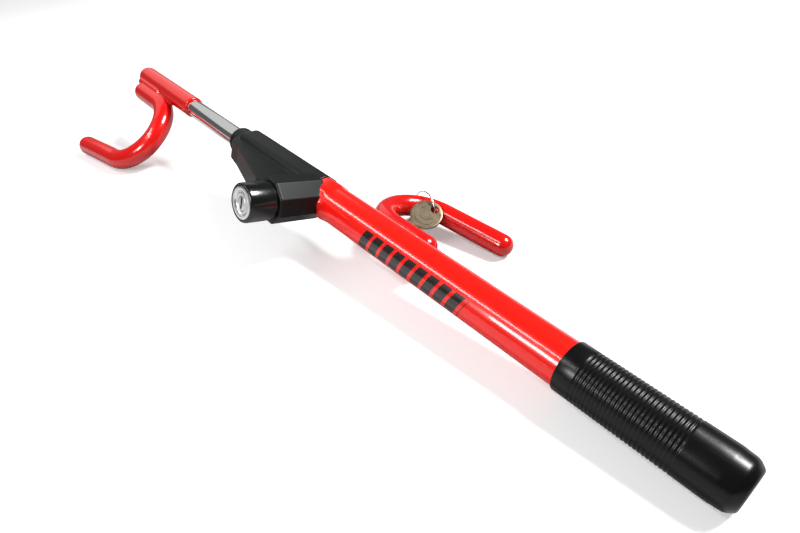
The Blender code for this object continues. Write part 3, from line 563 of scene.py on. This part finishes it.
def body_boss():
    rings = []
    for height, flat in ((6.0, BOSS_FLAT), (45.4, BOSS_FLAT), (46.3, BOSS_FLAT - 0.9)):
        corner = flat / math.cos(math.pi / 8)
        rings.append([(corner * math.cos(math.pi / 8 + i * math.pi / 4),
                       corner * math.sin(math.pi / 8 + i * math.pi / 4), height) for i in range(8)])
    boss = new_object("body_boss", loft(rings))
    boss.matrix_world = LOCK_IN_TUBE
    return boss


def body_web():
    outline = [(-440.0, 6.0), (-440.0, 11.5), (-431.0, 20.0), (-414.0, 24.0), (-352.0, 43.5),
               (-334.0, 43.5), (-334.0, 6.0)]
    rings = [[(x - LOCK_X, side, d) for x, d in outline] for side in (-WEB_HALF, WEB_HALF)]
    web = new_object("body_web", loft(rings))
    web.matrix_world = LOCK_IN_TUBE
    return web


def cut_with(piece, *cutters):
    """Take these solids out of an unplaced piece."""
    for cutter in cutters:
        modifier = add_modifier(piece, "BOOLEAN", operation="DIFFERENCE", solver="EXACT",
                                object=cutter)
        bpy.context.view_layer.update()
        graph = bpy.context.evaluated_depsgraph_get()
        mesh = bpy.data.meshes.new_from_object(piece.evaluated_get(graph))
        piece.modifiers.remove(modifier)
        piece.data = mesh
        bpy.data.objects.remove(cutter)
    return piece


black_enamel = worn_material("black_enamel", (0.0026, 0.0035, 0.0037), 0.4, specular=0.28,
                             patch=70.0, tone=0.35, gloss=0.1, scratches=0.08, grain=1100.0,
                             relief=0.16)
cast = dipped("cast_body", [body_sleeve(), body_boss(), body_web()], 0.5, 4)
cast = fix_normals(cast)
bore = fix_normals(turned("boss_bore", [(15.6, 0), (15.6, 10.0), (31.3, 10.0), (31.3, 13.3),
                                        (50.0, 13.3), (50.0, 0)], steps=64))
bore.matrix_world = LOCK_IN_TUBE
socket = fix_normals(turned("tube_socket", [(-432.3, 0), (-432.3, 14.6), (-300.0, 14.6),
                                            (-300.0, 0)], steps=64))
socket.matrix_world = ALONG
swell_room = new_object("swell_room", loft([tube_ring(-326.3, SWELL_FLAT + 0.1, 0),
                                            tube_ring(-300.0, SWELL_FLAT + 0.1, 0)]))
passage = fix_normals(turned("rod_passage", [(-460.0, 0), (-460.0, 9.1), (-425.0, 9.1),
                                             (-425.0, 0)], steps=64))
passage.matrix_world = ALONG
place_piece(cut_with(cast, socket, swell_room, passage, bore), TUBE_FRAME, black_enamel, "housing",
            "lock_body", smooth=40.0)

# ---------------------------------------------------------------- key barrel
# A turned sleeve in black enamel stands out of the boss and shrouds the lock cylinder; its outer
# edge is rounded and it steps in where it enters the boss.
barrel = [(31.6, 7.0), (31.6, 13.0), (46.6, 13.0), (46.6, 13.7), (46.9, 14.1), (47.4, 14.2),
          (66.2, 14.2), (66.9, 14.05), (67.5, 13.7), (67.9, 13.2), (68.0, 12.75), (67.9, 12.3),
          (67.6, 12.12),
          (63.4, 12.1), (63.4, 9.8), (33.1, 9.8), (33.1, 7.0)]
barrel_black = worn_material("barrel_black", (0.0028, 0.0032, 0.0034), 0.2, coat=0.15, patch=90.0,
                             tone=0.3, gloss=0.1, scratches=0.1, grain=900.0, relief=0.06)
place_piece(fix_normals(turned("barrel_shroud", barrel)), LOCK_AXIS, barrel_black, "housing",
            "barrel_sleeve")

# ---------------------------------------------------------------- lock cylinder
# The lock's fixed part, turned from zinc and nickel plated: a raised bright rim round a lower
# ring, with the plug in its middle.
cylinder = [(36.2, 6.3), (36.2, 9.5), (63.7, 9.5), (63.7, 11.8), (67.5, 11.8), (67.85, 11.6),
            (68.0, 11.2), (68.0, 9.5), (67.85, 9.1), (67.3, 8.75), (66.9, 8.5), (66.7, 8.2),
            (66.1, 8.2), (66.1, 6.3)]
nickel = worn_material("turned_nickel", (0.88, 0.89, 0.88), 0.3, metallic=1.0, patch=200.0, tone=0.25,
                       gloss=0.14, scratches=0.2, grain=1300.0, relief=0.08)
place_piece(fix_normals(turned("cylinder_face", cylinder)), LOCK_AXIS, nickel, "housing",
            "lock_cylinder")


# ---------------------------------------------------------------- plug and its small parts
# The plug turns with the key. Its face is a bright disc with a dished ring and an upright keyway;
# behind it are a clip groove, five wafer slots and the tail that carries the cam pin.
def box(name, low, high):
    bm = bmesh.new()
    bmesh.ops.create_cube(bm, size=1.0)
    size = Vector(high) - Vector(low)
    bmesh.ops.scale(bm, vec=size, verts=bm.verts)
    bmesh.ops.translate(bm, vec=(Vector(low) + Vector(high)) / 2, verts=bm.verts)
    return new_object(name, bm)


plug_profile = [(20.4, 0), (20.4, 3.1), (33.8, 3.1), (33.8, 6.0), (34.5, 6.0), (34.5, 4.8),
                (35.7, 4.8),
                (35.7, 6.0), (66.4, 6.0), (66.4, 7.8), (67.1, 7.8), (67.45, 7.65), (67.6, 7.3),
                (67.6, 6.3), (67.35, 6.0), (67.2, 5.5), (67.2, 5.0), (67.45, 4.6), (67.6, 4.3),
                (67.6, 0)]
plug_piece = fix_normals(turned("plug_face", plug_profile))
cutters = [box("keyway", (-1.1, -4.3, 38.0), (1.1, 4.3, 70.0))]
for i in range(5):
    d = 42.0 + i * 4.0
    cutters.append(box(f"wafer_slot_{i}", (-3.6, -7.0, d - 0.8), (3.6, 7.0, d + 0.8)))
pin_hole = fix_normals(turned("pin_hole", [(-8, 0), (-8, 1.5), (8, 1.5), (8, 0)], steps=24))
pin_hole.matrix_world = Matrix.Translation((0, 0, 26.0)) @ ALONG
cutters.append(pin_hole)
plug_nickel = worn_material("plug_nickel", (0.78, 0.79, 0.78), 0.34, metallic=1.0, patch=240.0,
                            tone=0.3, gloss=0.16, scratches=0.25, grain=1500.0, relief=0.1)
place_piece(cut_with(plug_piece, *cutters), LOCK_AXIS, plug_nickel, "plug", "lock_plug")


# ---------------------------------------------------------------- key ring
# A split ring of two turns of bright round wire, wound tight on each other, round the hook's bend.
def wire_ring(centre, normal, radius, wire, turns):
    curve = bpy.data.curves.new("split_ring", "CURVE")
    curve.dimensions = "3D"
    curve.bevel_depth = wire
    curve.bevel_resolution = 5
    curve.use_fill_caps = True
    z = normal.normalized()
    x = Vector((1, 0, 0)) - z * z.x
    x.normalize()
    y = z.cross(x)
    steps = 110
    spline = curve.splines.new("POLY")
    spline.points.add(steps)
    for i, point in enumerate(spline.points):
        angle = math.tau * turns * i / steps
        share = i / steps
        lift = (share - 0.5) * wire * 2.1
        point.co = (*(centre + (x * math.cos(angle) + y * math.sin(angle)) * radius + z * lift), 1)
    made = bpy.data.objects.new("split_ring", curve)
    bpy.context.scene.collection.objects.link(made)
    return made


ring_at = TUBE_FRAME.inverted() @ Vector(joints["ring_swing"]["pos_m"]) / MM
RING_R = 14.6
RING_CENTRE = ring_at + Vector((1.6, -2.0, -0.2))
RING_FACES = Vector((-0.181, -0.972, 0.147))
ring_wire = worn_material("ring_wire", (0.66, 0.65, 0.63), 0.2, metallic=1.0, patch=300.0,
                          tone=0.2, gloss=0.1, scratches=0.2, grain=2500.0, relief=0.05)
WIRE_R = 0.42
WIRE_TURNS = 1.92
place_piece(wire_ring(RING_CENTRE, RING_FACES, RING_R, WIRE_R, WIRE_TURNS), TUBE_FRAME, ring_wire,
            "ring", "key_ring", smooth=180.0)


# ---------------------------------------------------------------- keys
# Flat keys pressed from nickel silver: a round bow with a raised rim and a plain raised arc, an
# oval hole for the ring, and a milled blade with cuts along one edge.
BOW_X = -7.6                 # the bow's centre, from the hole's


def key_outline():
    bow_r, half, end = 12.6, 3.8, -46.0
    neck = math.asin(half / bow_r)
    steps = 72
    points = []
    for i in range(steps + 1):
        a = math.pi + neck + (math.tau - 2 * neck) * i / steps
        points.append((BOW_X + bow_r * math.cos(a), bow_r * math.sin(a)))
    x = BOW_X - bow_r - 5.0
    for depth in (1.4, 2.2, 1.0, 1.8):
        points += [(x, half), (x - 1.2, half - depth), (x - 2.6, half - depth), (x - 3.8, half)]
        x -= 4.4
    return points + [(end + 3.0, half), (end, 0.6), (end, -0.6), (end + 3.0, -half)]


def flat_plate(name, outline, low, high):
    return new_object(name, loft([[(x, y, z) for x, y in outline] for z in (low, high)]))


def ring_relief(name, centre_x, inner, outer, low, high, start, sweep, steps=48):
    """A raised arc in the bow's face."""
    turns = [start + sweep * i / steps for i in range(steps + 1)]
    outline = [(centre_x + outer * math.cos(a), outer * math.sin(a)) for a in turns]
    outline += [(centre_x + inner * math.cos(a), inner * math.sin(a)) for a in reversed(turns)]
    return flat_plate(name, outline, low, high)


def key_piece(name):
    """The key's plate has a sunk bow face; the rim and the arc are left standing."""
    plate = flat_plate(name, key_outline(), -1.0, 1.0)
    add_modifier(plate, "BEVEL", width=0.22, segments=2, limit_method="ANGLE",
                 angle_limit=math.radians(50))
    plate = fix_normals(plate)
    cutters = []
    oval = fix_normals(turned(f"{name}_hole", [(-3, 0), (-3, 3.0), (3, 3.0), (3, 0)], steps=40))
    oval.data.transform(Matrix.Diagonal((1, 1.25, 1, 1)))
    cutters.append(oval)
    for side in (1, -1):
        low, high = sorted((0.72 * side, 1.4 * side))
        cutters.append(ring_relief(f"{name}_sink_{side}", BOW_X, 8.9, 11.0, low, high, math.radians(35),
                                   math.radians(290)))
        cutters.append(ring_relief(f"{name}_arc_{side}", BOW_X, 4.4, 6.9, low, high, math.radians(75),
                                   math.radians(210)))
        groove_low, groove_high = sorted((0.55 * side, 1.4 * side))
        cutters.append(box(f"{name}_mill_{side}", (-44.0, -1.5 if side > 0 else -2.6, groove_low),
                           (-21.5, -0.3 if side > 0 else -1.4, groove_high)))
    return cut_with(plate, *cutters)


def key_place(joint, points):
    """The key's frame: its hole on the joint, its face along the joint's axis, its blade this way."""
    z = Vector(joint["axis"]).normalized()
    away = TUBE_FRAME.to_3x3() @ -points
    x = (away - z * away.dot(z)).normalized()
    place = Matrix((x, z.cross(x), z)).transposed().to_4x4()
    place.translation = Vector(joint["pos_m"])
    return place


key_metal = worn_material("nickel_silver", (0.30, 0.24, 0.16), 0.4, metallic=0.9, patch=150.0,
                          tone=0.35, gloss=0.2, scratches=0.3, grain=1800.0, relief=0.25)
KEY_POINTS = {"key_a": (-0.241, -0.937, -0.253), "key_b": (0.695, 0.713, -0.093)}
for name, points in KEY_POINTS.items():
    place_piece(key_piece(f"{name}_blade"), key_place(joints[f"{name}_swing"], Vector(points)),
                key_metal, name, name)

# ---------------------------------------------------------------- hidden steel and brass parts
# The pieces inside the body and tube keep their own shapes: bare bar and weld under the vinyl,
# zinc-plated pins and screws, a ground pawl, blued springs, stamped wafers and moulded bushes.
inner_finishes = {
    "hook_bar_steel": ((0.20, 0.20, 0.21), 0.45, 1.0, ("tube_hook_core", "rod_hook_core")),
    "weld_steel": ((0.16, 0.15, 0.15), 0.55, 1.0, ("tube_hook_weld", "rod_hook_weld")),
    "plated_steel": ((0.45, 0.46, 0.47), 0.32, 1.0, ("body_pin_front", "body_pin_rear", "barrel_screw",
                                                    "rod_end_screw", "cam_pin")),
    "ground_steel": ((0.32, 0.33, 0.34), 0.28, 1.0, ("locking_pawl",)),
    "spring_wire": ((0.22, 0.23, 0.25), 0.3, 1.0, ("pawl_spring", "plug_clip")),
    "wafer_brass": ((0.55, 0.42, 0.2), 0.36, 1.0, tuple(f"wafer_{i}" for i in range(1, 6))),
    "moulded_nylon": ((0.62, 0.60, 0.54), 0.5, 0.0, ("rod_guide_bush", "nose_bush")),
}
for name, (colour, roughness, metallic, nodes) in inner_finishes.items():
    inner = worn_material(name, colour, roughness, metallic=metallic, patch=140.0, tone=0.25,
                          gloss=0.15, scratches=0.2, grain=1400.0, relief=0.15)
    for node in nodes:
        frame["nodes"][node].data.materials.clear()
        frame["nodes"][node].data.materials.append(inner)

# ---------------------------------------------------------------- floor and light
# A plain pale floor under a soft studio light: a broad key behind the bar, a dim panel for the top
# flats and two narrow strips that draw the thin highlights along the tube, grip and hooks.
floor_mesh = bpy.data.meshes.new("floor")
half_floor = 6.0
floor_mesh.from_pydata([(-half_floor, -half_floor, 0), (half_floor, -half_floor, 0),
                        (half_floor, half_floor, 0), (-half_floor, half_floor, 0)], [],
                       [(0, 1, 2, 3)])
floor = bpy.data.objects.new("floor", floor_mesh)
bpy.context.scene.collection.objects.link(floor)
floor_paper, floor_tree, floor_shader = new_material("floor_paper")
floor_shader.inputs["Base Color"].default_value = (0.86, 0.86, 0.86, 1)
floor_shader.inputs["Emission Color"].default_value = (1, 1, 1, 1)
floor_shader.inputs["Emission Strength"].default_value = 0.32
floor_shader.inputs["Roughness"].default_value = 0.9
floor_shader.inputs["Specular IOR Level"].default_value = 0.0
dim_paper = add_node(floor_tree, "ShaderNodeBsdfDiffuse", Color=(0.42, 0.42, 0.42, 1))
seen_straight = add_node(floor_tree, "ShaderNodeLightPath").outputs["Is Camera Ray"]
paper = floor_tree.nodes.new("ShaderNodeMixShader")
floor_tree.links.new(seen_straight, paper.inputs[0])
floor_tree.links.new(dim_paper.outputs[0], paper.inputs[1])
floor_tree.links.new(floor_shader.outputs[0], paper.inputs[2])
floor_tree.links.new(paper.outputs[0], floor_tree.nodes["Material Output"].inputs["Surface"])
floor_mesh.materials.append(floor_paper)


def add_panel(name, at_mm, toward_mm, size, power):
    """A rectangular soft light in the tube's frame, in millimetres; size is in metres."""
    data = bpy.data.lights.new(name, "AREA")
    data.shape = "RECTANGLE"
    data.size, data.size_y = size
    data.energy = power
    lamp = bpy.data.objects.new(name, data)
    bpy.context.scene.collection.objects.link(lamp)
    spot = TUBE_FRAME @ (Vector(at_mm) * MM)
    target = TUBE_FRAME @ (Vector(toward_mm) * MM)
    out = (spot - target).normalized()
    side = along_tube - out * along_tube.dot(out)
    side.normalize()
    turn = Matrix((side, out.cross(side), out)).transposed().to_4x4()
    lamp.matrix_world = Matrix.Translation(spot) @ turn


MIDDLE = (-330.0, 0.0, 0.0)
add_panel("key_panel", (350.0, 1300.0, 2000.0), MIDDLE, (0.7, 0.7), 96.0)
add_panel("rod_panel", (-1261.0, 160.0, 476.0), (-500.0, 0.0, 8.0), (0.7, 1.0), 1.2)
add_panel("grip_strip", (-345.0, -640.0, 350.0), (-110.0, -12.0, 10.0), (0.28, 0.16), 3.2)
add_panel("hook_strip", (-560.0, -380.0, 560.0), (-237.0, 71.0, -14.0), (0.6, 0.07), 1.9)
world = bpy.data.worlds.new("studio")
bpy.context.scene.world = world
world.use_nodes = True
studio = world.node_tree
dim_room = studio.nodes["Background"]
dim_room.inputs["Color"].default_value = (1.0, 1.0, 1.0, 1)
dim_room.inputs["Strength"].default_value = 0.12
white_wall = add_node(studio, "ShaderNodeBackground", Color=(1.0, 1.0, 1.0, 1), Strength=1.0)
wall_seen = add_node(studio, "ShaderNodeLightPath").outputs["Is Camera Ray"]
wall = studio.nodes.new("ShaderNodeMixShader")
studio.links.new(wall_seen, wall.inputs[0])
studio.links.new(dim_room.outputs[0], wall.inputs[1])
studio.links.new(white_wall.outputs[0], wall.inputs[2])
studio.links.new(wall.outputs[0], studio.nodes["World Output"].inputs["Surface"])
